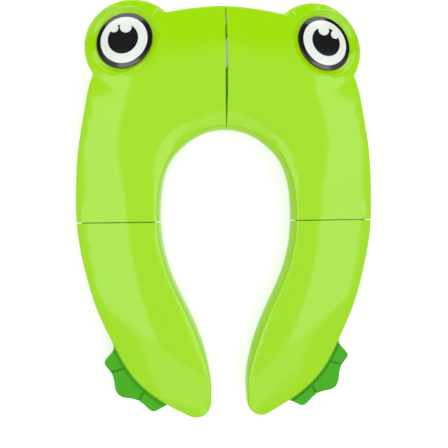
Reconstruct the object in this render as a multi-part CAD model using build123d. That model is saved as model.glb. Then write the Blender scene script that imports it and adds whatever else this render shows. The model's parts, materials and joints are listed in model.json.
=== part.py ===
from build123d import *
import math
import os

import numpy as np

os.makedirs("parts", exist_ok=True)

# A folding toddler toilet seat in four panels, lying flat as it is used.
# +X is the right-hand side, +Y the rear (the eyes), +Z up; millimetres.
# Right-hand parts are drawn; left-hand parts are their mirror images.

# heights
CROWN = 13.5  # tallest a front panel may stand above its rim, so that it folds away
SIDE_AXIS_DROP = 1.5  # side hinge axes lie this far below the rim plane
FOLD_GAP = 0.3  # half of the space left between the two folded front panels
CENTRE_KNUCKLE_R = 3.5
CENTRE_AXIS_DROP = 2 * SIDE_AXIS_DROP + CROWN + FOLD_GAP
AXIS_Z = CENTRE_KNUCKLE_R  # centre hinge axis above the floor
RIM = AXIS_Z + CENTRE_AXIS_DROP  # lower edge of every panel
SIDE_AXIS_Z = RIM - SIDE_AXIS_DROP
SKIN = 2.0  # thickness of the moulded skin
DEEP = 40.0  # height of cutting tools
WIDE = 300.0  # width of cutting tools

# seams
SIDE_SEAM_Y = -11.5
SIDE_SEAM_GAP = 0.8
CENTRE_END_GAP = 0.4  # width of the centre slit at its two ends
CENTRE_SAG = 1.1  # each half steps back this much more in the middle of the slit

# outline of the right half, seen from above
REAR_Y = 186.4
HOLE_REAR_Y = 73.3
OUTER_POINTS = [
    (CENTRE_END_GAP / 2, REAR_Y),
    (28, 184.2),
    (55.3, 179.3),
    (88, 165),
    (110, 142),
    (122.5, 119),
    (129.2, 89.6),
    (134.9, 56.2),
    (137.4, 22.2),
    (137.5, -4),
    (135.2, -29.7),
    (129.1, -59.3),
    (118.8, -93.2),
    (105.8, -121.8),
    (88.9, -151.7),
    (68.5, -171.4),
    (53.5, -181.3),
]
HOLE_POINTS = [
    (16.3, -164.2),
    (18.5, -141.9),
    (24.5, -119.6),
    (33.5, -97.3),
    (44.3, -75),
    (53.5, -52.6),
    (59.3, -27.5),
    (60.7, -2),
    (58.9, 20.5),
    (51.5, 43),
    (37.5, 59),
    (19.5, 69.8),
    (CENTRE_END_GAP / 2, HOLE_REAR_Y),
]
HOLE_DRAFT = 3.2  # the hole is this much wider each side at the top of its wall
DRAFT_FROM = 2.0  # the draft starts this far above the rim
DRAFT_TALL = 8.0
TIP = (31, -177.6)
TIP_R = 14.0
TIP_ANGLE = -63.0  # where the tip arc hands over to the outer edge

# eye bosses and eye discs
BOSS = (85, 148)
BOSS_R = 43.6
BOSS_TOP = 18.2  # over the rim
BOSS_SHOULDER_R = 26.0  # from here outwards the top of the boss runs down into the panel
BOSS_SHOULDER_DROP = 6.0
BOSS_BRIM_SLOPE = 1.1  # fall of the shoulder at its end, per millimetre outwards
BOSS_EDGE_R = 2.5
EYE = (92.7, 153.5)
EYE_TURN = math.degrees(math.atan2(0.655, 0.755))  # the way the eye looks out, from +X
EYE_TILT = 12.0
EYE_PLANE_Z = 13.7  # height of the tilted eye plane over the rim, at the eye centre
EYE_LONG = 26.9
EYE_SHORT = 24.2
SOCKET_R = 31.0
SOCKET_DEPTH = 3.0
SOCKET_FLOOR_R = 27.6
SOCKET_FLARE = 1.2  # the dished wall runs on this far past the socket radius
SOCKET_LIP_H = 0.7
WALL_BEND = 0.72  # middle of the dished wall, as a share of its width and depth
PIT_H = 8.0  # hollow of the boss outside the plain panel, over the rim
EYE_EDGE_T = 2.0
EYE_DOME = 2.6
EYE_SPIGOT_R = 6.0
EYE_SPIGOT_T = 1.2

# crown of the panels: heights over the rim
CROWN_TOP = 13.25
HOLE_DROP = 1.8  # how far the crown rolls down to the edge of the hole
HOLE_ROLL = 24.0  # and how wide that roll is
OUTER_DROP = 5.6
OUTER_ROLL = 54.0
REAR_DIP = 3.5  # at the rear the crown starts this much lower at the hole
REAR_RISE = 9.5  # and rises this much on its way to the rear edge
REAR_RISE_REACH = 36.0
REAR_FROM_Y = 0.0
REAR_FULL_Y = 95.0
BEYOND = 3.0  # the crown falls on past its edges for this far
PATCH_DEGREE = 9
PATCH_STEADY = 1e-4  # keeps the patch calm where no panel holds it
TOP_EDGE_R = 1.6

# hinge hardware
SIDE_KNUCKLE_R = 3.2
SIDE_PIN_R = 1.6
CENTRE_PIN_R = 2.0
RUNNING_FIT = 0.05
KNUCKLE_CLEAR = 0.35
KNUCKLE_GAP = 0.4
KNUCKLE_ROOT_H = 4.5  # how far a side knuckle reaches up into its panel
KNUCKLE_ROOT_Y = 5.0
LUG_CLEAR = 0.45  # a centre lug stays this far from the middle of the seat
LUG_ROOT_X = 13.0
LUG_ROOT_H = 5.0
SIDE_HINGE_X = (66.0, 133.0)
CENTRE_HINGE_Y = (76.0, 134.0)
KNUCKLES = 5

# positioning tabs, pads, feet
TAB_LONG = 16.0
TAB_WIDE = 9.0
FRONT_TAB = (98, -70)
REAR_TAB = (83, 82)
TAB_REACH = 11.0
PAD_R = 8.0
PAD_PROUD = 1.2
PAD_SUNK = 1.0
PAD_STEM_R = 2.5
PAD_STEM_LONG = 4.5
PAD_POST_R = 9.8
PAD_SLACK = 0.1
REAR_PADS = {"side": (117, 28), "back": (50, 158)}
FRONT_PADS = {"side": (111, -42), "tip": (42, -154)}
FOOT_T = 4.0
FOOT_SLACK = 0.25
TOE_RISE = 1.4
FLANGE = 3.0  # the toes start this far outside the edge of the panel
GROOVE_WIDE = 2.0
GROOVE_FLOOR = 3.4  # over the rim
GROOVE_TALL = 2.5
FOOT_SCREWS = [(90.5, -130.5), (72.5, -156.5)]
FOOT_POINTS = [
    (106, -121.8),
    (106.3, -129),
    (111, -134.5),
    (113.6, -138.8),
    (110, -145),
    (106, -152),
    (104.6, -161),
    (102, -167.6),
    (97, -170.9),
    (91, -172),
    (84.8, -173.8),
    (78.8, -177.9),
    (73.8, -182.8),
    (70, -184.8),
    (65.5, -183.6),
    (58, -180.3),
]
FOOT_BACK = [(50, -170), (62, -152), (84, -120), (95, -114)]
GROOVES = [((108, -147.6), (92, -143)), ((84.2, -176.5), (76.5, -162.5))]
SCREW_HEAD_R = 3.0
SCREW_HEAD_T = 1.8
SCREW_R = 1.5
SCREW_END = 8.2  # tip of the screw over the rim
SCREW_POST_R = 4.5

# ribs of the hollow underside: (x range, y range), and how far they stop above the rim
RIB_T = 1.6
RIB_RISE = 1.0
REAR_RIBS = [
    ((2, 134), (6, 6 + RIB_T)),
    ((2, 134), (64, 64 + RIB_T)),
    ((24, 24 + RIB_T), (66, 186)),
    ((70, 70 + RIB_T), (2, 180)),
    ((2, 72), (132, 132 + RIB_T)),
]
FRONT_RIBS = [
    ((15, 134), (-28, -28 + RIB_T)),
    ((15, 134), (-90, -90 + RIB_T)),
    ((15, 134), (-122, -122 + RIB_T)),
    ((72, 72 + RIB_T), (-150, -12)),
]


def outline_edges():
    """Outer edge, tip arc and hole edge of the right half, end to end."""
    turn = math.radians(TIP_ANGLE)
    tip_out = (TIP[0] + TIP_R * math.cos(turn), TIP[1] + TIP_R * math.sin(turn))
    tip_in = (TIP[0] - TIP_R, TIP[1])
    outer = Edge.make_spline(
        [Vector(*p) for p in OUTER_POINTS + [tip_out]],
        tangents=[Vector(1, 0), Vector(math.sin(turn), -math.cos(turn))],
        scale=False,
    )
    middle = math.radians((TIP_ANGLE - 180) / 2)
    tip_mid = (TIP[0] + TIP_R * math.cos(middle), TIP[1] + TIP_R * math.sin(middle))
    tip = Edge.make_three_point_arc(Vector(*tip_out), Vector(*tip_mid), Vector(*tip_in))
    hole = Edge.make_spline(
        [Vector(*p) for p in [tip_in] + HOLE_POINTS],
        tangents=[Vector(0, 1), Vector(-1, 0)],
        scale=False,
    )
    return outer, tip, hole


OUTER, TIP_ARC, HOLE = outline_edges()


def sample(edge, count):
    """Middle points of count short lengths of an edge, and the length of one of them."""
    places = [edge.position_at((i + 0.5) / count) for i in range(count)]
    return np.array([(p.X, p.Y) for p in places]), edge.length / count


def loop_holds(x, y, corners):
    """Whether each point lies inside a closed loop of corners."""
    inside = np.zeros(x.shape, bool)
    for (ax, ay), (bx, by) in zip(corners, np.roll(corners, -1, axis=0)):
        if ay != by:
            crosses = ((ay > y) != (by > y)) & (x < (bx - ax) * (y - ay) / (by - ay) + ax)
            inside ^= crosses
    return inside


def soft_distance(x, y, edge, count=400):
    """A distance to an edge and to its mirror image that has no creases in it."""
    points, step = sample(edge, count)
    total = np.zeros_like(x)
    for side in (1, -1):
        for px, py in points:
            square = (x - side * px) ** 2 + (y - py) ** 2 + 0.01
            total += step / square**2
    return (total / (math.pi / 2)) ** (-1 / 3)


def smooth_step(value, low, high):
    share = np.clip((value - low) / (high - low), 0, 1)
    return share * share * (3 - 2 * share)


def roll_off(distance, drop, reach):
    """How far a crown has rolled down at a distance inwards from one of its edges."""
    return drop * np.maximum(1 - distance / reach, 0) ** 2


def crown_height(x, y):
    """Height of a panel over its rim: rolled down to both edges, scooped and higher at the rear."""
    mirror = np.array([-1, 1])
    hole_line = sample(HOLE, 120)[0]
    outer_line = sample(OUTER, 200)[0]
    in_hole = loop_holds(x, y, np.vstack([hole_line, hole_line[::-1] * mirror]))
    in_seat = loop_holds(x, y, np.vstack([outer_line, outer_line[::-1] * mirror]))
    to_hole = soft_distance(x, y, HOLE)
    to_outer = soft_distance(x, y, OUTER)
    to_hole = np.where(in_hole, -np.minimum(to_hole, BEYOND), to_hole)
    to_outer = np.where(in_seat, to_outer, -np.minimum(to_outer, BEYOND))
    fall = roll_off(to_hole, HOLE_DROP, HOLE_ROLL) + roll_off(to_outer, OUTER_DROP, OUTER_ROLL)
    rise = REAR_RISE * (1 - np.exp(-to_hole / REAR_RISE_REACH))
    rear = smooth_step(y, REAR_FROM_Y, REAR_FULL_Y) * (rise - REAR_DIP)
    return CROWN_TOP - fall + rear, in_seat & ~in_hole


def bernstein(degree, share):
    """The Bernstein polynomials of one degree at each share."""
    powers = [math.comb(degree, i) * share**i * (1 - share) ** (degree - i) for i in range(degree + 1)]
    return np.stack(powers, -1)


def crown_surface(x_range, y_range, seam_side):
    """One smooth patch laid through the crown heights of the front or the rear panel."""
    x, y = np.meshgrid(np.linspace(*x_range, 70), np.linspace(*y_range, 90), indexing="ij")
    height, on_panel = crown_height(x, y)
    on_panel &= (y - SIDE_SEAM_Y) * seam_side > -2
    weight = np.where(on_panel, 1.0, 0.02).ravel()
    across = bernstein(PATCH_DEGREE, (x - x_range[0]) / (x_range[1] - x_range[0]))
    along = bernstein(PATCH_DEGREE, (y - y_range[0]) / (y_range[1] - y_range[0]))
    terms = (across[..., :, None] * along[..., None, :]).reshape(x.size, -1) * weight[:, None]
    steady = PATCH_STEADY * np.eye(terms.shape[1])
    poles = np.linalg.solve(terms.T @ terms + steady, terms.T @ (height.ravel() * weight))
    poles = poles.reshape(PATCH_DEGREE + 1, PATCH_DEGREE + 1)
    px = np.linspace(*x_range, PATCH_DEGREE + 1)
    py = np.linspace(*y_range, PATCH_DEGREE + 1)
    rows = [[Vector(a, b, RIM + poles[i, j]) for j, b in enumerate(py)] for i, a in enumerate(px)]
    return Face.make_bezier_surface(rows)


def under(surface, drop=0.0):
    """Everything below a crown surface let down by drop."""
    return Solid.extrude(surface.moved(Location((0, 0, -drop))), Vector(0, 0, -2 * DEEP))


def prism(face, low, high):
    return Solid.extrude(face.moved(Location((0, 0, low))), Vector(0, 0, high - low))


def box(x_range, y_range, z_range):
    corner = Plane((x_range[0], y_range[0], z_range[0]))
    lengths = [r[1] - r[0] for r in (x_range, y_range, z_range)]
    return Solid.make_box(*lengths, corner)


def post(centre, radius, low, high):
    return Solid.make_cylinder(radius, high - low, Plane((centre[0], centre[1], low)))


def rod(start, direction, radius, length):
    return Solid.make_cylinder(radius, length, Plane(start, z_dir=direction))


def half_plan():
    """Plan of the right half, with its bowed edge at the centre slit."""
    middle = (HOLE_REAR_Y + REAR_Y) / 2
    end = CENTRE_END_GAP / 2
    slit = Edge.make_three_point_arc(
        Vector(end, HOLE_REAR_Y), Vector(end + CENTRE_SAG, middle), Vector(end, REAR_Y)
    )
    return Face(Wire([OUTER, TIP_ARC, HOLE, slit]))


def part_plan(face, seam_side):
    """The front or the rear piece of a plan, cut back from both seams."""
    near = SIDE_SEAM_Y + seam_side * SIDE_SEAM_GAP / 2
    middle = Plane((WIDE / 2 - 1, near + seam_side * WIDE / 2, 0))
    window = Face.make_rect(WIDE, WIDE, middle)
    return (face & window).faces()[0]


def grown(face, amount):
    """A plan moved outwards by amount, or inwards if negative, with plain spline edges."""
    edges = []
    for edge in offset(face, amount=amount).faces()[0].outer_wire().order_edges():
        if edge.geom_type in (GeomType.LINE, GeomType.CIRCLE):
            edges.append(edge)
        else:
            count = max(4, round(edge.length / 9))
            points = [edge.position_at(i / count) for i in range(count + 1)]
            edges.append(Edge.make_spline(points, tangents=[edge % 0, edge % 1], scale=False))
    return Face(Wire(edges))


def hole_loop(points, tip_x, height):
    """The closed outline of the whole hole, from points along its right-hand side."""
    right = [Vector(x, y, height) for x, y in [(tip_x, TIP[1])] + points]
    left = [Vector(-p.X, p.Y, p.Z) for p in right]
    side = Edge.make_spline(right, tangents=[Vector(0, 1), Vector(-1, 0)], scale=False)
    other = Edge.make_spline(left, tangents=[Vector(0, 1), Vector(1, 0)], scale=False)
    return Wire([side, Edge.make_line(right[-1], left[-1]), other, Edge.make_line(left[0], right[0])])


def hole_cutter():
    """The hole with its drafted wall: the draft fades out towards the tips."""
    wide = []
    steps = DEEP / DRAFT_TALL
    for x, y in HOLE_POINTS:
        share = HOLE.param_at_point(Vector(x, y))
        way = HOLE.tangent_at(share)
        fade = float(smooth_step(np.float64(y), TIP[1], -110))
        reach = HOLE_DRAFT * steps * fade
        wide.append((x + way.Y * reach, y - way.X * reach))
    wide[-1] = (HOLE_POINTS[-1][0], HOLE_POINTS[-1][1] + HOLE_DRAFT * steps)
    low = hole_loop(HOLE_POINTS, TIP[0] - TIP_R, RIM + DRAFT_FROM)
    high = hole_loop(wide, TIP[0] - TIP_R, RIM + DRAFT_FROM + DEEP)
    return Solid.make_loft([low, high], ruled=True)


def one(shape):
    """The single solid of a shape."""
    solids = shape.solids()
    assert len(solids) == 1, len(solids)
    return solids[0]


def eye_location(height):
    """A plane on the eye's axis, height above the tilted eye plane, its X along the long axis."""
    turn = math.radians(EYE_TURN)
    tilt = math.radians(EYE_TILT)
    lean = math.sin(tilt)
    normal = Vector(lean * math.cos(turn), lean * math.sin(turn), math.cos(tilt))
    centre = Vector(EYE[0], EYE[1], RIM + EYE_PLANE_Z)
    long_way = Vector(-math.sin(turn), math.cos(turn), 0)
    return Plane(centre + normal * height, x_dir=long_way, z_dir=normal)


def below_eye_plane(drop):
    """Half-space under the eye plane, let down by drop along its normal."""
    plane = eye_location(-drop)
    corner = Location(-(plane.x_dir + plane.y_dir) * (WIDE / 2))
    return Solid.make_box(WIDE, WIDE, WIDE, plane.offset(-WIDE)).moved(corner)


def boss_block():
    """The round eye boss, with a sloping shoulder and its outer side cut by the eye plane."""
    top = RIM + BOSS_TOP
    flat = Vector(BOSS[0] + BOSS_SHOULDER_R, BOSS[1], top)
    brim = Vector(BOSS[0] + BOSS_R, BOSS[1], top - BOSS_SHOULDER_DROP)
    falls = [Vector(1, 0, 0), Vector(1, 0, -BOSS_BRIM_SLOPE)]
    shoulder = Edge.make_spline([flat, brim], tangents=falls, scale=False)
    centre_top = Vector(*BOSS, top)
    centre_low = Vector(*BOSS, RIM)
    brim_low = Vector(BOSS[0] + BOSS_R, BOSS[1], RIM)
    corners = [brim, brim_low, centre_low, centre_top, flat]
    sides = [Edge.make_line(a, b) for a, b in zip(corners, corners[1:])]
    profile = Face(Wire([shoulder] + sides))
    block = one(Solid.revolve(profile, 360, Axis((*BOSS, 0), (0, 0, 1))) & below_eye_plane(0))
    brims = [e for e in block.edges() if e.geom_type == GeomType.ELLIPSE]
    return block.fillet(BOSS_EDGE_R, brims)


def socket_tool():
    """The dished recess that the eye disc sits in."""
    plane = eye_location(0)
    lip = SOCKET_R + SOCKET_FLARE
    bend = SOCKET_FLOOR_R + WALL_BEND * (SOCKET_R - SOCKET_FLOOR_R)
    floor_end = Vector(SOCKET_FLOOR_R, 0, -SOCKET_DEPTH)
    wall_end = Vector(lip, 0, SOCKET_LIP_H)
    wall = Edge.make_three_point_arc(floor_end, Vector(bend, 0, -WALL_BEND * SOCKET_DEPTH), wall_end)
    corners = [wall_end, Vector(lip, 0, DEEP), Vector(0, 0, DEEP), Vector(0, 0, -SOCKET_DEPTH), floor_end]
    sides = [Edge.make_line(a, b) for a, b in zip(corners, corners[1:])]
    tool = Solid.revolve(Face(Wire([wall] + sides)), 360, Axis.Z)
    hole_low = Plane((0, 0, -SOCKET_DEPTH - EYE_SPIGOT_T))
    spigot = Solid.make_cylinder(EYE_SPIGOT_R, EYE_SPIGOT_T + 1, hole_low)
    return (tool + spigot).moved(plane.location)


def eye_disc():
    """A domed oval disc with a short spigot behind it."""
    rim_r = EYE_LONG - 1
    ball_r = (rim_r**2 + EYE_DOME**2) / (2 * EYE_DOME)
    oval = Face(Wire([Edge.make_ellipse(EYE_LONG, EYE_SHORT)]))
    disc = Solid.extrude(oval, Vector(0, 0, 2 * EYE_EDGE_T + EYE_DOME))
    ball = Solid.make_sphere(ball_r, Plane((0, 0, EYE_EDGE_T + EYE_DOME - ball_r)), -90, 90, 360)
    disc = one(disc & ball)
    rims = [e for e in disc.edges() if e.center().Z > EYE_EDGE_T / 2]
    disc = disc.fillet(0.5, rims)
    spigot = Solid.make_cylinder(EYE_SPIGOT_R - 0.05, EYE_SPIGOT_T, Plane((0, 0, 0.1 - EYE_SPIGOT_T)))
    return one(disc + spigot).moved(eye_location(-SOCKET_DEPTH).location)


def hollow_tab(centre):
    """The part of a positioning tab that stands inside its panel."""
    return box(
        (centre[0] - TAB_WIDE / 2, centre[0] + TAB_WIDE / 2),
        (centre[1] - TAB_LONG / 2, centre[1] + TAB_LONG / 2),
        (RIM, RIM + DEEP),
    )


def tab(centre):
    """A positioning tab below the rim, with rounded edges."""
    body = box(
        (centre[0] - TAB_WIDE / 2, centre[0] + TAB_WIDE / 2),
        (centre[1] - TAB_LONG / 2, centre[1] + TAB_LONG / 2),
        (RIM - TAB_REACH, RIM + 2),
    )
    upright = body.edges().filter_by(Axis.Z)
    body = body.fillet(2.5, upright)
    return body.fillet(1.5, body.faces().sort_by(Axis.Z)[0].edges())


def stations(span):
    """Ends of the knuckles that share a hinge line, small gaps between them."""
    pitch = (span[1] - span[0]) / KNUCKLES
    return [
        (span[0] + i * pitch + KNUCKLE_GAP / 2, span[0] + (i + 1) * pitch - KNUCKLE_GAP / 2)
        for i in range(KNUCKLES)
    ]


def side_knuckles(seam_side):
    """Knuckles of one panel on its side hinge line: the rear panel has one more than the front."""
    first = 0 if seam_side > 0 else 1
    near = SIDE_SEAM_Y + seam_side * SIDE_SEAM_GAP / 2
    far = near + seam_side * KNUCKLE_ROOT_Y
    parts = []
    for low, high in stations(SIDE_HINGE_X)[first::2]:
        start = (low, SIDE_SEAM_Y, SIDE_AXIS_Z)
        parts.append(rod(start, (1, 0, 0), SIDE_KNUCKLE_R, high - low))
        y_range = (min(near, far), max(near, far))
        parts.append(box((low, high), y_range, (SIDE_AXIS_Z, RIM + KNUCKLE_ROOT_H)))
    return parts


def side_clearances(seam_side):
    """Room for the other panel's knuckles, all along their swing."""
    first = 1 if seam_side > 0 else 0
    parts = []
    for low, high in stations(SIDE_HINGE_X)[first::2]:
        start = (low - KNUCKLE_GAP, SIDE_SEAM_Y, SIDE_AXIS_Z)
        length = high - low + 2 * KNUCKLE_GAP
        parts.append(rod(start, (1, 0, 0), SIDE_KNUCKLE_R + KNUCKLE_CLEAR, length))
    return parts


def centre_lugs(first):
    """Deep lugs with knuckles on the centre hinge line, drawn on the right-hand side."""
    profile = [
        (LUG_CLEAR, AXIS_Z),
        (CENTRE_KNUCKLE_R - 0.2, AXIS_Z),
        (CENTRE_KNUCKLE_R + 2, AXIS_Z + 6),
        (LUG_ROOT_X, RIM - 2),
        (LUG_ROOT_X, RIM + LUG_ROOT_H),
        (LUG_CLEAR, RIM + LUG_ROOT_H),
    ]
    parts = []
    for low, high in stations(CENTRE_HINGE_Y)[first::2]:
        corners = [Vector(x, low, z) for x, z in profile]
        web = Solid.extrude(Face(Wire.make_polygon(corners)), Vector(0, high - low, 0))
        parts.append(web)
        parts.append(rod((0, low, AXIS_Z), (0, 1, 0), CENTRE_KNUCKLE_R, high - low))
    return parts


def pad_holes(centres):
    """Recess and stem hole for each pad."""
    parts = []
    for centre in centres:
        parts.append(post(centre, PAD_R + PAD_SLACK, RIM - 1, RIM + PAD_SUNK))
        parts.append(post(centre, PAD_STEM_R, RIM, RIM + PAD_SUNK + PAD_STEM_LONG))
    return parts


def pad(centre):
    """A soft round pad, standing a little proud of the rim, with a stem pressed into its post."""
    disc = post(centre, PAD_R, RIM - PAD_PROUD, RIM + PAD_SUNK)
    disc = disc.fillet(0.6, disc.faces().sort_by(Axis.Z)[0].edges())
    stem = post(centre, PAD_STEM_R, RIM + PAD_SUNK - 0.1, RIM + PAD_SUNK + PAD_STEM_LONG)
    return one(disc + stem)


def foot_plan():
    """Plan of a webbed foot: three toes outside the panel, a straight-sided root inside it."""
    toes = Edge.make_spline([Vector(*p) for p in FOOT_POINTS])
    corners = [Vector(*p) for p in [FOOT_POINTS[-1]] + FOOT_BACK + [FOOT_POINTS[0]]]
    sides = [Edge.make_line(a, b) for a, b in zip(corners, corners[1:])]
    return Face(Wire([toes] + sides))


def foot(panel_plan):
    """The foot plate with raised toes, grooves between them, and two screw holes."""
    plan = foot_plan()
    body = prism(plan, RIM, RIM + FOOT_T)
    covered = grown(panel_plan, FLANGE)
    toes = prism(plan, RIM + FOOT_T / 2, RIM + FOOT_T + TOE_RISE) - prism(covered, RIM, RIM + DEEP)
    body = body + toes
    for (ax, ay), (bx, by) in GROOVES:
        run = Vector(bx - ax, by - ay)
        middle = Vector((ax + bx) / 2, (ay + by) / 2, RIM + GROOVE_FLOOR)
        plane = Plane(middle, x_dir=run.normalized(), z_dir=(0, 0, 1))
        corner = Location(-run / 2 - plane.y_dir * GROOVE_WIDE / 2)
        groove = Solid.make_box(run.length, GROOVE_WIDE, GROOVE_TALL, plane)
        body = body - groove.moved(corner)
    for centre in FOOT_SCREWS:
        body = body - post(centre, SCREW_HEAD_R + 0.4, RIM - 1, RIM + SCREW_HEAD_T + 0.2)
        body = body - post(centre, SCREW_R + 0.2, RIM - 1, RIM + FOOT_T + 1)
    return one(body)


def foot_screw(centre):
    """A pan-head screw up through the foot, with a cross recess."""
    head_low = RIM + 0.2
    head = post(centre, SCREW_HEAD_R, head_low, head_low + SCREW_HEAD_T)
    head = head.fillet(0.5, head.faces().sort_by(Axis.Z)[0].edges())
    shank = post(centre, SCREW_R, head_low + 1, RIM + SCREW_END)
    shank = shank.chamfer(0.4, None, shank.faces().sort_by(Axis.Z)[-1].edges())
    screw = head + shank
    for wide, deep in ((3.2, 0.8), (0.8, 3.2)):
        slot_x = (centre[0] - wide / 2, centre[0] + wide / 2)
        slot_y = (centre[1] - deep / 2, centre[1] + deep / 2)
        screw = screw - box(slot_x, slot_y, (RIM, head_low + 1))
    return one(screw)


def pin(start, direction, radius, length):
    """A plain hinge pin with chamfered ends."""
    body = rod(start, direction, radius, length)
    flats = body.faces().filter_by(GeomType.PLANE)
    return body.chamfer(0.4, None, flats.edges())


def long_top_edges(solid):
    """Upper edges of a panel block, without the ones along the side seam and the slit."""
    found = []
    for edge in solid.edges():
        a, b = edge @ 0, edge @ 1
        upright = abs((edge @ 0.5).Z - RIM) < 0.1 or (a - b).length < 0.1 + abs(a.Z - b.Z)
        on_seam = abs(a.Y - b.Y) < 0.01
        on_slit = max(a.X, b.X, (edge @ 0.5).X) < 3
        too_low = (edge @ 0.5).Z < RIM + DRAFT_FROM + 1
        if not (upright or on_seam or on_slit or too_low):
            found.append(edge)
    return found


def shell(plan, surface, seam_side):
    """A front or rear panel of the right half, without its centre hinge lugs."""
    rear = seam_side > 0
    outer = one((prism(plan, RIM, RIM + DEEP) & under(surface)) - hole_cutter())
    outer = outer.fillet(TOP_EDGE_R, long_top_edges(outer))
    inner_plan = grown(plan, -SKIN)
    hollow = prism(inner_plan, RIM - 1, RIM + DEEP) & under(surface, SKIN)
    near_hole = grown(Face(hole_loop(HOLE_POINTS, TIP[0] - TIP_R, 0)), SKIN + HOLE_DRAFT)
    hollow = hollow - prism(near_hole, RIM - 1, RIM + DEEP)
    if rear:
        outer = one(outer + boss_block())
        guard = post(EYE, SOCKET_R + SKIN, RIM, RIM + DEEP) - below_eye_plane(SOCKET_DEPTH + SKIN)
        pit = post(BOSS, BOSS_R - 2 * SKIN, RIM - 1, RIM + PIT_H) & below_eye_plane(SOCKET_DEPTH + SKIN)
        hollow = hollow - guard + pit
    pads = REAR_PADS if rear else FRONT_PADS
    tab_at = REAR_TAB if rear else FRONT_TAB
    for x_range, y_range in REAR_RIBS if rear else FRONT_RIBS:
        hollow = hollow - box(x_range, y_range, (RIM + RIB_RISE, RIM + DEEP))
    for centre in pads.values():
        hollow = hollow - post(centre, PAD_POST_R, RIM, RIM + DEEP)
    hollow = hollow - hollow_tab(tab_at)
    if not rear:
        for centre in FOOT_SCREWS:
            hollow = hollow - post(centre, SCREW_POST_R, RIM, RIM + DEEP)
    body = outer - hollow
    if rear:
        body = body - socket_tool()
    else:
        body = body - prism(grown(foot_plan(), FOOT_SLACK), RIM - 1, RIM + FOOT_T)
        for centre in FOOT_SCREWS:
            body = body - post(centre, SCREW_R, RIM, RIM + SCREW_END)
    for extra in side_knuckles(seam_side) + [tab(tab_at)]:
        body = body + extra
    for gap in side_clearances(seam_side) + pad_holes(pads.values()):
        body = body - gap
    bore_r = SIDE_PIN_R if rear else SIDE_PIN_R + RUNNING_FIT
    start = (SIDE_HINGE_X[0], SIDE_SEAM_Y, SIDE_AXIS_Z)
    bore = rod(start, (1, 0, 0), bore_r, SIDE_HINGE_X[1] - SIDE_HINGE_X[0])
    return one(body - bore)


def with_lugs(body, first, bore_r):
    """A rear panel with its share of the centre hinge."""
    for extra in centre_lugs(first):
        body = body + extra
    start = (0, CENTRE_HINGE_Y[0] - 1, AXIS_Z)
    return one(body - rod(start, (0, 1, 0), bore_r, CENTRE_HINGE_Y[1] - CENTRE_HINGE_Y[0] + 2))


def mirrored(solid):
    return solid.mirror(Plane.YZ)


plan = half_plan()
rear_plan = part_plan(plan, 1)
front_plan = part_plan(plan, -1)
rear_shell = shell(rear_plan, crown_surface((-4, 142), (-15, 197), 1), 1)
front_shell = shell(front_plan, crown_surface((10, 142), (-196, -8), -1), -1)

centre_start = (0, CENTRE_HINGE_Y[0], AXIS_Z)
centre_long = CENTRE_HINGE_Y[1] - CENTRE_HINGE_Y[0]
side_start = (SIDE_HINGE_X[0], SIDE_SEAM_Y, SIDE_AXIS_Z)
side_long = SIDE_HINGE_X[1] - SIDE_HINGE_X[0]

nodes = {
    "rear_right_shell": with_lugs(rear_shell, 1, CENTRE_PIN_R + RUNNING_FIT),
    "rear_left_shell": mirrored(with_lugs(rear_shell, 0, CENTRE_PIN_R)),
    "front_right_shell": front_shell,
    "front_left_shell": mirrored(front_shell),
    "centre_hinge_pin": pin(centre_start, (0, 1, 0), CENTRE_PIN_R, centre_long),
}

right = {
    "eye_disc": eye_disc(),
    "foot": foot(front_plan),
    "foot_screws": Compound([foot_screw(c) for c in FOOT_SCREWS]),
    "side_hinge_pin": pin(side_start, (1, 0, 0), SIDE_PIN_R, side_long),
}
for panel, pads in (("rear", REAR_PADS), ("front", FRONT_PADS)):
    for place, centre in pads.items():
        right[f"{panel}_{place}_pad"] = pad(centre)
for name, shape in right.items():
    nodes[f"right_{name}"] = shape
    nodes[f"left_{name}"] = mirrored(shape)

for name, shape in nodes.items():
    export_step(shape, f"parts/{name}.step")
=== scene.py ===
# %% [markdown]
# # A folding toddler seat shaped like a frog
# The seat is laid on an adult toilet to make its opening smaller. Four glossy moulded panels fold
# together on three hinges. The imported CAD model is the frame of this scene: it says where every piece
# is, and Blender gives the pieces their finish. Blender units are metres, +Z is up, +Y is the eye end.

# %% Load the frame
import bpy
import bmesh
import json
import math
import numpy as np
from mathutils import Matrix, Vector


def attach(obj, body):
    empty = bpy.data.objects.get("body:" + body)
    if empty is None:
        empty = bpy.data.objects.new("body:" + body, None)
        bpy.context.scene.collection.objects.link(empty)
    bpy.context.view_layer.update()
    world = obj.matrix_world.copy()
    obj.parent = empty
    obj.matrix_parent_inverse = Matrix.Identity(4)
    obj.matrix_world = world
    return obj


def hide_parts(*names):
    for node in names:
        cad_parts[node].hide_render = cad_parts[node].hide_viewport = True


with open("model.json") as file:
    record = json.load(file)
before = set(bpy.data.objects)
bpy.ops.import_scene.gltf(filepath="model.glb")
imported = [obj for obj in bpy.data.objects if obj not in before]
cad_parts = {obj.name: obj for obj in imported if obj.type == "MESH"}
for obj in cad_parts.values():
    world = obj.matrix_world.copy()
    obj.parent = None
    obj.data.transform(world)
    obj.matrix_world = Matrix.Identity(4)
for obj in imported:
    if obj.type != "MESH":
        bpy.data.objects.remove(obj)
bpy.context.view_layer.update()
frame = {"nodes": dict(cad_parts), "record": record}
nodes = frame["nodes"]
body_of_node = {n: b for b, members in frame["record"]["behaviour"]["bodies"].items() for n in members}
MM = 0.001
RIM = 0.0203 / MM  # height of the panels' lower edge above the floor, in mm
print("lower edge of the panels in mm:", RIM)

# %% [markdown]
# ## Writing shader maths as sums
# A material is a graph of nodes. Written node by node, even a small formula fills a page, so `Wire`
# wraps one output socket and turns `+`, `-`, `*` and `/` into Math nodes. `Board` makes the other nodes.

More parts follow.
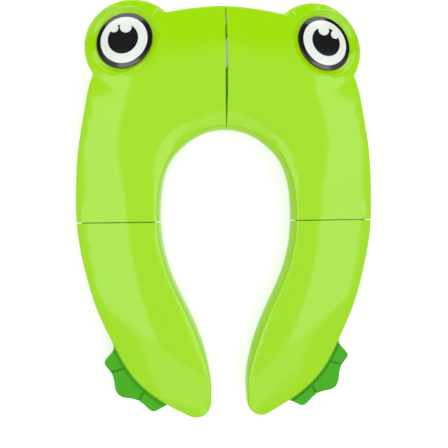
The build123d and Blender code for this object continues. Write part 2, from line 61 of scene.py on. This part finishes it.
# %% Shader helpers
class Wire:
    """One output socket that can be used in sums."""

    def __init__(self, board, socket):
        self.board, self.socket = board, socket

    def maths(self, operation, a, b=None, clamp=False):
        return self.board.make("ShaderNodeMath", dict(operation=operation, use_clamp=clamp), [a, b])

    def __add__(self, other):
        return self.maths("ADD", self, other)

    def __sub__(self, other):
        return self.maths("SUBTRACT", self, other)

    def __rsub__(self, other):
        return self.maths("SUBTRACT", other, self)

    def __mul__(self, other):
        return self.maths("MULTIPLY", self, other)

    def __truediv__(self, other):
        return self.maths("DIVIDE", self, other)

    def __pow__(self, other):
        return self.maths("POWER", self, other)

    __radd__, __rmul__ = __add__, __mul__

    def step(self, low, high):
        """0 below low, 1 above high, straight between them."""
        return self.maths("MULTIPLY", self - low, 1 / (high - low), clamp=True)


class Board:
    """The node graph of one material."""

    def __init__(self, name):
        self.material = bpy.data.materials.new(name)
        self.material.use_nodes = True
        self.tree = self.material.node_tree
        self.shader = self.tree.nodes["Principled BSDF"]

    def make(self, kind, settings=None, values=None, out=0):
        """A node of one kind: its settings first, then numbers or links for its sockets."""
        node = self.tree.nodes.new(kind)
        for name, value in (settings or {}).items():
            setattr(node, name, value)
        pairs = values.items() if isinstance(values, dict) else enumerate(values or [])
        for place, value in pairs:
            if value is not None:
                self.plug(value, node.inputs[place])
        return Wire(self, node.outputs[out])

    def plug(self, value, socket):
        """Links a wire to a socket, or sets a plain value on it."""
        if isinstance(value, Wire):
            self.tree.links.new(value.socket, socket)
        else:
            socket.default_value = value

    def place(self):
        """The position on the piece, in metres: its object sits at the origin."""
        return self.make("ShaderNodeTexCoord", out="Object")

    def noise(self, scale, detail, at=None):
        values = {"Vector": at or self.place(), "Scale": scale, "Detail": detail}
        return self.make("ShaderNodeTexNoise", None, values, out="Fac")

    def mix(self, share, a, b):
        """Colour a where share is 0, colour b where it is 1."""
        return self.make("ShaderNodeMix", dict(data_type="RGBA"), {0: share, 6: a, 7: b}, out=2)

    def bump(self, height, distance):
        values = {"Height": height, "Distance": distance, "Strength": 1.0}
        return self.make("ShaderNodeBump", None, values)

    def finish(self, **sockets):
        """Feeds the shader's sockets; an underscore stands for a space in a socket's name."""
        for name, value in sockets.items():
            self.plug(value, self.shader.inputs[name.replace("_", " ")])
        return self.material


print("shader helpers ready")

# %% [markdown]
# ## Glossy moulded plastic
# Polypropylene from a polished mould is glossy, yet never a perfect mirror: the skin has a faint
# long wave where it cooled, and handling leaves tiny rubs that change its gloss from place to place.
# The colour hardly varies. Two noises drive the roughness, two more the bump, and the first of them
# tints the colour too. The panels are polished; the feet are duller, and keep the same recipe.

# %% Plastic finishes
def moulded_plastic(name, colour, deep_colour, gloss=0.06, wave=0.00001, shine=0.36):
    board = Board(name)
    cloud = board.noise(9.0, 3.0)  # patches about 100 mm across
    rubs = board.noise(320.0, 2.0).step(0.60, 0.78)  # a few mm across, and only the strongest
    grain = board.noise(2600.0, 1.0)  # under half a millimetre
    slow = board.noise(38.0, 1.0)  # the long wave
    tint = board.mix(cloud.step(0.30, 0.75) * 0.5, colour, deep_colour)
    roughness = gloss + 0.035 * cloud + 0.06 * rubs
    height = slow * 0.8 + grain * 0.02
    return board.finish(
        Base_Color=tint,
        Roughness=roughness,
        Normal=board.bump(height, wave),
        IOR=1.49,
        Specular_IOR_Level=shine,
    )


LEAF = (0.352, 0.735, 0.002, 1)
LEAF_DEEP = (0.336, 0.712, 0.002, 1)
POND = (0.056, 0.415, 0.004, 1)
POND_DEEP = (0.044, 0.365, 0.003, 1)
panel_green = moulded_plastic("panel_green", LEAF, LEAF_DEEP)
foot_green = moulded_plastic("foot_green", POND, POND_DEEP, gloss=0.20, shine=0.16)
print("plastics:", panel_green.name, foot_green.name)

# %% [markdown]
# ## Soft silicone and plain steel
# The rest pads are silicone: dull, a little translucent looking, dusty in places. Pins and screws are
# drawn steel wire: the drawing leaves fine lines, which a stretched noise gives.

# %% Pad and steel finishes
DRAWN_LINES = (60.0, 60.0, 900.0)  # draws a noise out into fine lines along the level pins


def silicone():
    board = Board("pad_silicone")
    dust = board.noise(120.0, 4.0).step(0.45, 0.75)
    fine = board.noise(1800.0, 2.0)
    colour = board.mix(dust * 0.5, (0.50, 0.53, 0.48, 1), (0.66, 0.68, 0.63, 1))
    return board.finish(
        Base_Color=colour, Roughness=0.55 + 0.2 * dust, Normal=board.bump(fine, 0.00003), IOR=1.41
    )


def drawn_steel():
    board = Board("drawn_steel")
    stretched = board.make("ShaderNodeMapping", None, {"Vector": board.place(), "Scale": DRAWN_LINES})
    lines = board.noise(14.0, 3.0, at=stretched)
    colour = board.mix(lines, (0.50, 0.50, 0.52, 1), (0.68, 0.68, 0.70, 1))
    return board.finish(
        Base_Color=colour, Metallic=1.0, Roughness=0.24 + 0.16 * lines, Normal=board.bump(lines, 0.00001)
    )


pad_silicone = silicone()
steel = drawn_steel()
print("pad and steel finishes ready")

# %% [markdown]
# ## The eyes
# Each eye is a domed disc printed in black and white, lying in a dished socket that looks a little
# outwards. An image could carry the print; here it is drawn with sums, so that it stays sharp at any
# size. The position is turned to the directions of the disc, and distances from a few centres give
# the rings and spots. The last step raises the white ink by a trace, as a print would be.

# %% Eye print
EYE_CENTRE = (0.0927, 0.1535)  # the right eye; the left one is its mirror image
EYE_TURN = math.atan2(0.655, 0.755)  # the direction in which an eye leans outwards
EYE_TILT = math.radians(12.0)
RING = (0.0223, 0.0200, 0.0003)  # long radius, short radius, shift outwards
PUPIL = (0.0144, 0.0130, 0.0016)
BIG_SPOT_R, SMALL_SPOT_R = 0.0053, 0.0040
BIG_SPOT = {1: (-0.0007, 0.0122), -1: (-0.0014, 0.0119)}  # by side: outwards and up from the centre
SMALL_SPOT = {1: (0.0104, 0.0082), -1: (0.0092, 0.0110)}
RING_SOFT, SPOT_SOFT = 0.006, 0.018  # how far an edge of the print fades, as a share of its radius


def eye_print(side):
    """Black edge, white ring, black pupil with two highlights, for the right (1) or left (-1) eye."""
    board = Board("eye_print_right" if side > 0 else "eye_print_left")
    axes = board.make("ShaderNodeSeparateXYZ", None, [board.place()])
    x = (axes - EYE_CENTRE[0] * side) * side
    y = Wire(board, axes.socket.node.outputs["Y"]) - EYE_CENTRE[1]
    turn_x, turn_y = math.cos(EYE_TURN), math.sin(EYE_TURN)
    out = x * turn_x + y * turn_y
    along = y * turn_x - x * turn_y

    def inside(a, b, soft):
        """1 inside the oval where a and b give the distance from its middle, 0 outside."""
        return 1 - ((a * a + b * b) ** 0.5).step(1 - soft, 1 + soft)

    def oval(long_r, short_r, shift_out):
        return inside(along / long_r, (out - shift_out) / short_r, RING_SOFT)

    def spot(centre, radius):
        return inside((x - centre[0]) / radius, (y - centre[1]) / radius, SPOT_SOFT)

    ring, pupil = oval(*RING), oval(*PUPIL)
    big, small = spot(BIG_SPOT[side], BIG_SPOT_R), spot(SMALL_SPOT[side], SMALL_SPOT_R)
    lit = big.maths("MAXIMUM", big, small)
    white = ring * (1 - pupil * (1 - lit))
    speck = board.noise(900.0, 2.0)
    colour = board.mix(white, (0.006, 0.006, 0.008, 1), (0.80, 0.86, 0.80, 1))
    step_edge = white * 0.5 + speck * 0.03
    return board.finish(
        Base_Color=colour,
        Roughness=0.10 + 0.05 * speck + 0.06 * white,
        Normal=board.bump(step_edge, 0.00004),
        IOR=1.5,
        Coat_Weight=0.3,
        Coat_Roughness=0.05,
    )


eye_right, eye_left = eye_print(1), eye_print(-1)
print("eye prints ready")

# %% [markdown]
# ## Even triangles for a glossy crown
# The CAD mesh follows the shape closely, but its long triangles would bend a highlight. The crown
# of each panel is one smooth patch, so a polynomial laid through its corners gives back that patch.
# The top of a merged copy is then cut into small triangles, and each corner is set on the patch.

# %% Surface helpers
PATCH = 9  # highest power of x and of y in the patch
FIT_ROUNDS = (1.0, 0.3, 0.1, 0.04, 0.04)  # mm; corners further off than this are left out next time
STEADY = 1e-7  # keeps the fit steady where a corner of the patch has no points


def legendre(values, low, high):
    """The Legendre polynomials up to PATCH, with low to high stretched over -1 to 1."""
    return np.polynomial.legendre.legvander((values - low) / (high - low) * 2 - 1, PATCH)


class Crown:
    """The polynomial patch of a panel's top, found from the corners of its CAD mesh."""

    def __init__(self, points):
        self.low, self.high = points.min(0) - 1, points.max(0) + 1
        keep = np.ones(len(points), bool)
        for allowed in FIT_ROUNDS:
            terms = self.terms(points[keep, 0], points[keep, 1])
            steady = STEADY * len(terms) * np.eye(terms.shape[1])
            self.weights = np.linalg.solve(terms.T @ terms + steady, terms.T @ points[keep, 2])
            error = np.abs(self.height(points[:, 0], points[:, 1]) - points[:, 2])
            keep = error < allowed
        self.error = error[keep].max()
        self.kept = int(keep.sum())

    def terms(self, x, y):
        across = legendre(x, self.low[0], self.high[0])
        along = legendre(y, self.low[1], self.high[1])
        return (across[:, :, None] * along[:, None, :]).reshape(len(x), -1)

    def height(self, x, y):
        return self.terms(np.atleast_1d(x), np.atleast_1d(y)) @ self.weights


def merged_copy(node):
    """A bmesh of a CAD node in millimetres, its loose triangles joined up."""
    mesh = bmesh.new()
    mesh.from_mesh(nodes[node].data)
    bmesh.ops.remove_doubles(mesh, verts=mesh.verts, dist=1e-6)
    bmesh.ops.scale(mesh, vec=(1 / MM, 1 / MM, 1 / MM), verts=mesh.verts)
    return mesh


def finer(mesh, chosen, longest):
    """Splits the long edges between chosen faces until they are short; chosen is an int layer."""
    for _ in range(8):
        long_edges = [
            e
            for e in mesh.edges
            if e.calc_length() > longest and e.link_faces and all(f[chosen] for f in e.link_faces)
        ]
        if not long_edges:
            break
        bmesh.ops.subdivide_edges(mesh, edges=long_edges, cuts=1)
        bmesh.ops.triangulate(mesh, faces=[f for f in mesh.faces if len(f.verts) > 3])


SHARP_ANGLE = math.radians(38.0)


def to_object(mesh, name, material):
    """A finished object from a bmesh in millimetres, smooth but for its sharp edges."""
    bmesh.ops.scale(mesh, vec=(MM, MM, MM), verts=mesh.verts)
    for face in mesh.faces:
        face.smooth = True
    for edge in mesh.edges:
        edge.smooth = len(edge.link_faces) == 2 and edge.calc_face_angle(0) < SHARP_ANGLE
    data = bpy.data.meshes.new(name)
    mesh.to_mesh(data)
    mesh.free()
    obj = bpy.data.objects.new(name, data)
    bpy.context.scene.collection.objects.link(obj)
    data.materials.append(material)
    return obj


print("surface helpers ready")

# %% [markdown]
# ## The eye boss as a formula
# On each rear panel a round boss carries the eye: it runs into the crown on its inner side and is
# dished round the eye. In CAD these shapes meet at faint creases. A moulded seat has none, so soft
# minimum and maximum functions melt the boss, the crown and the dish together here, in millimetres.

# %% Boss and socket
BOSS = (85.0, 148.0)
BOSS_R = 43.6
BOSS_TOP = RIM + 17.1
SHOULDER_R, SHOULDER_DROP = 24.0, 5.6  # where the boss starts to fall off, and by how much at its edge
EYE_Z = RIM + 13.7  # height of the eye plane at the eye's centre
SOCKET_FLOOR_R, SOCKET_LIP_R, SOCKET_DEPTH = 25.0, 31.8, 3.0
LIP_RISE, LIP_POWER = 0.3, 1.4  # how the dish climbs to the eye plane
CAP_BLEND, CROWN_BLEND, DISH_BLEND = 0.7, 1.2, 0.35  # how widely two surfaces melt together
BOSS_MARGIN, BOSS_ZONE = 1.0, 6.0  # outside the boss: the pure crown starts, faces stop belonging to it
BOSS_FADE = 8.0  # outside the boss: its formula is no longer asked


def soft_min(a, b, blend):
    """The lower of a and b, rounded over where they cross."""
    return -blend * np.logaddexp(-a / blend, -b / blend)


def eye_reach(x, y):
    """Distance from the eye's axis and height of the eye plane there; x is taken as positive."""
    ahead, aside = x - EYE_CENTRE[0] / MM, y - EYE_CENTRE[1] / MM
    out = ahead * math.cos(EYE_TURN) + aside * math.sin(EYE_TURN)
    along = aside * math.cos(EYE_TURN) - ahead * math.sin(EYE_TURN)
    return np.hypot(along, out / math.cos(EYE_TILT)), EYE_Z - math.tan(EYE_TILT) * out


def boss_height(x, y, crown):
    """Top of a rear panel near its eye, from the crown's height there; x is taken as positive."""
    reach, plane = eye_reach(x, y)
    away = np.hypot(x - BOSS[0], y - BOSS[1])
    share = np.clip((away - SHOULDER_R) / (BOSS_R - SHOULDER_R), 0, 1.2)
    cap = BOSS_TOP - SHOULDER_DROP * share**2
    boss = soft_min(cap, plane, CAP_BLEND)
    top = -soft_min(-crown, -boss, CROWN_BLEND)
    rise = np.clip((reach - SOCKET_FLOOR_R) / (SOCKET_LIP_R - SOCKET_FLOOR_R), 0, 1.5)
    dish = plane + (-SOCKET_DEPTH + (SOCKET_DEPTH + LIP_RISE) * rise**LIP_POWER) / math.cos(EYE_TILT)
    return soft_min(top, dish, DISH_BLEND)


def from_boss(points, side):
    """Distances from the boss's axis, seen from above."""
    return np.hypot(points[:, 0] - side * BOSS[0], points[:, 1] - BOSS[1])


print("boss top in mm:", BOSS_TOP, "eye plane in mm:", EYE_Z)

# %% [markdown]
# ## Which faces are the top
# Only the glossy top is laid again: walls, rims, ribs and hinge knuckles keep the exact CAD shape. A
# face belongs to the top when it looks up and its corners lie on the crown, on the melted boss or in
# the socket. The rounded brim of the boss is left as it is, because it turns down too steeply.

# %% Choosing the faces
ON_SURFACE = 0.05  # mm from the crown that still counts as on it
ON_BOSS = 2.0  # mm from the melted boss, which may differ more
BRIM, BRIM_RISE = 3.6, 1.2  # width of the boss's rounded brim, and how far it stands over the crown
LOOKS_UP, LOOKS_ASIDE, LEVEL = 0.35, -0.1, 0.8  # heights of a face's normal: top, socket wall, level
LOW_FACE, CROWN_FACE = RIM + 3.0, RIM + 6.5
SOCKET_INNER_R, SOCKET_OUTER_R, SOCKET_FOOT = 8.0, 31.9, 4.2


def in_socket(face, corners, side):
    """Whether a face of a rear panel is part of the dish round the eye."""
    reach, plane = eye_reach(corners[:, 0] * side, corners[:, 1])
    ring = SOCKET_INNER_R < reach.min() and reach.max() < SOCKET_OUTER_R
    high = face.calc_center_median().z > plane.min() - SOCKET_FOOT
    return ring and high and face.normal.z > LOOKS_ASIDE


def on_top(face, crown, side, rear):
    """Whether a face belongs to the glossy top of a panel."""
    corners = np.array([v.co for v in face.verts])
    if rear and in_socket(face, corners, side):
        return True
    if face.normal.z < LOOKS_UP or face.calc_center_median().z < LOW_FACE:
        return False
    height = crown.height(corners[:, 0], corners[:, 1])
    away = from_boss(corners, side).max()
    if np.abs(height - corners[:, 2]).max() < ON_SURFACE:
        return True
    if not rear or away >= BOSS_R + BOSS_ZONE:
        return False
    melted = boss_height(corners[:, 0] * side, corners[:, 1], height)
    on_brim = away > BOSS_R - BRIM and melted.min() > height.min() + BRIM_RISE
    return not on_brim and np.abs(melted - corners[:, 2]).max() < ON_BOSS


print("face rules ready")

# %% [markdown]
# ## The panels
# Seen from above, each panel swells between the hole and its outer edge. A copy of each panel is cut
# fine over its top, and the new corners are set on the crown and the boss, while the corners on the
# border of the top stay where they are. The copy then stands for the CAD panel.

# %% Rear panels and front panels
LONGEST_EDGE = 2.4


def lay_top(mesh, skin, crown, side, rear):
    """Sets the inner corners of a finely cut top on the smooth surface."""
    seen = dict.fromkeys(v for f in mesh.faces if f[skin] for v in f.verts)
    moved = [v for v in seen if all(f[skin] for f in v.link_faces)]
    at = np.array([v.co for v in moved])
    height = crown.height(at[:, 0], at[:, 1])
    if rear:
        near = from_boss(at, side) < BOSS_R + BOSS_FADE
        height[near] = boss_height(at[near, 0] * side, at[near, 1], height[near])
    for vert, z in zip(moved, height):
        vert.co.z = z
    bmesh.ops.remove_doubles(mesh, verts=mesh.verts, dist=0.01)


def relaid_panel(node, side, rear):
    """A copy of a panel whose top is cut fine and laid on the smooth surface."""
    mesh = merged_copy(node)
    skin = mesh.faces.layers.int.new("skin")
    level = [f for f in mesh.faces if f.normal.z > LEVEL and f.calc_center_median().z > CROWN_FACE]
    points = np.array([v.co for v in dict.fromkeys(v for f in level for v in f.verts)])
    crown = Crown(points[from_boss(points, side) > BOSS_R + BOSS_MARGIN] if rear else points)
    for face in mesh.faces:
        face[skin] = int(on_top(face, crown, side, rear))
    finer(mesh, skin, LONGEST_EDGE)
    lay_top(mesh, skin, crown, side, rear)
    print(node, "fits within", round(float(crown.error), 3), "mm at", crown.kept, "corners")
    print("  and has", len(mesh.faces), "faces")
    piece = to_object(mesh, node + "_skin", panel_green)
    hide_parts(node)
    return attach(piece, body_of_node[node])


panels = [
    relaid_panel(f"{end}_{hand}_shell", side, end == "rear")
    for end in ("rear", "front")
    for hand, side in (("left", -1), ("right", 1))
]

# %% [markdown]
# ## Finishes for the CAD pieces that keep their shape
# Eyes, feet, pads, screws and pins already have their real form, so they only get a material.

# %% Materials on kept nodes
def paint(node, material):
    data = nodes[node].data
    data.materials.clear()
    data.materials.append(material)


for name in nodes:
    if name.endswith("pin") or name.endswith("screws"):
        paint(name, steel)
    elif name.endswith("foot"):
        paint(name, foot_green)
    elif name.endswith("pad"):
        paint(name, pad_silicone)
paint("right_eye_disc", eye_right)
paint("left_eye_disc", eye_left)
print("painted", len(nodes), "nodes")

# %% [markdown]
# ## Floor and lights
# The floor is plain and pale, and glows a little so that it stays white. Large soft panels hang high
# to the left, to the right, in front of and behind the seat: a gloss shows the shape of its lights, so
# their edges draw the crisp bands along the crown. Point lamps would only leave small hot spots.

# %% Floor and lights
FLOOR_GLOW = 0.6


def pale_floor():
    data = bpy.data.meshes.new("floor")
    reach = 6.0
    corners = [(-reach, -reach, 0), (reach, -reach, 0), (reach, reach, 0), (-reach, reach, 0)]
    data.from_pydata(corners, [], [(0, 1, 2, 3)])
    floor = bpy.data.objects.new("floor", data)
    bpy.context.scene.collection.objects.link(floor)
    board = Board("floor_paint")
    grain = board.noise(60.0, 3.0)
    tone = board.mix(grain, (0.50, 0.50, 0.50, 1), (0.53, 0.53, 0.53, 1))
    board.finish(Base_Color=tone, Roughness=0.7, Emission_Color=(1, 1, 1, 1), Emission_Strength=FLOOR_GLOW)
    data.materials.append(board.material)


def soft_panel(name, centre, aim, width, height, radiance):
    """A rectangular light that faces a point; radiance is how bright its face looks."""
    light = bpy.data.lights.new(name, "AREA")
    light.shape = "RECTANGLE"
    light.size, light.size_y = width, height
    light.energy = radiance * width * height * math.pi
    lamp = bpy.data.objects.new(name, light)
    lamp.location = centre
    lamp.rotation_euler = (Vector(aim) - Vector(centre)).to_track_quat("-Z", "Y").to_euler()
    bpy.context.scene.collection.objects.link(lamp)


HIGH = 3.0


def hung_panel(name, x, y, width, height, radiance):
    """A soft panel that hangs level and faces straight down."""
    soft_panel(name, (x, y, HIGH), (x, y, 0.0), width, height, radiance)


pale_floor()
hung_panel("left_panel", -0.80, -0.10, 1.07, 1.5, 2.3)
hung_panel("right_panel", 1.57, -0.10, 1.35, 1.5, 2.3)
hung_panel("front_panel", 0.35, -1.54, 1.9, 1.3, 1.1)
soft_panel("rear_panel", (0.0, 2.2, 1.3), (0.0, 0.1, 0.1), 3.0, 1.2, 2.6)
print("floor and lights ready")

# %% [markdown]
# ## The sky
# Between the panels the plastic reflects the sky. It is white overhead, dimmer towards the horizon,
# and dark behind the seat, where a black card would stand in a studio: that gives the rims their
# edge. Two smooth ramps, one on height and one on depth, are multiplied for its strength.

# %% Sky
RISE = (0.0, 0.9)  # heights between which the sky brightens
CARD = (0.1, 0.34)  # depths between which it falls off behind the seat


def studio_sky(low, high, rear):
    """low and high are the strengths at the horizon and overhead; rear is the share left behind."""
    world = bpy.data.worlds.new("studio")
    bpy.context.scene.world = world
    world.use_nodes = True
    tree = world.node_tree
    place = tree.nodes.new("ShaderNodeTexCoord")
    split = tree.nodes.new("ShaderNodeSeparateXYZ")
    tree.links.new(place.outputs["Generated"], split.inputs[0])
    product = tree.nodes.new("ShaderNodeMath")
    product.operation = "MULTIPLY"
    for number, (axis, stops) in enumerate((("Z", (*RISE, low, high)), ("Y", (*CARD, 1.0, rear)))):
        ramp = tree.nodes.new("ShaderNodeMapRange")
        ramp.interpolation_type = "SMOOTHSTEP"
        for name, value in zip(("From Min", "From Max", "To Min", "To Max"), stops):
            ramp.inputs[name].default_value = value
        tree.links.new(split.outputs[axis], ramp.inputs["Value"])
        tree.links.new(ramp.outputs["Result"], product.inputs[number])
    background = tree.nodes["Background"]
    background.inputs["Color"].default_value = (1, 1, 1, 1)
    tree.links.new(product.outputs[0], background.inputs["Strength"])


studio_sky(0.22, 1.05, 0.12)
bpy.context.scene.view_settings.view_transform = "Standard"
print("sky ready")

# %% [markdown]
# ## Camera
# The camera looks down with the eyes at the top, from a little to the left of the seat, and is held
# a touch crooked. The lens is worked out from the width that the view takes in at the seat. Shift
# slides the view over without turning the camera, as a view camera does.

# %% Camera
DISTANCE = 0.80
LEAN = math.radians(7.5)
ROLL = 0.0112
SENSOR = 36.0
VIEW_WIDTH = 0.4150
camera_data = bpy.data.cameras.new("camera")
camera = bpy.data.objects.new("camera", camera_data)
bpy.context.scene.collection.objects.link(camera)
aim = Vector((0.0, 0.0, 0.026))
back = Vector((-math.sin(LEAN), 0.0, math.cos(LEAN)))
camera.location = aim + back * DISTANCE
level = Vector((0, 1, 0)).cross(back).normalized()
right = Matrix.Rotation(-ROLL, 3, back) @ level
turn = Matrix((right, back.cross(right), back)).transposed()
camera.rotation_mode = "QUATERNION"
camera.rotation_quaternion = turn.to_quaternion()
camera_data.sensor_width = SENSOR
camera_data.lens = SENSOR * DISTANCE / VIEW_WIDTH
camera_data.shift_x = -0.0062
camera_data.shift_y = -0.0340
bpy.context.scene.camera = camera
print("camera at", [round(c, 3) for c in camera.location])
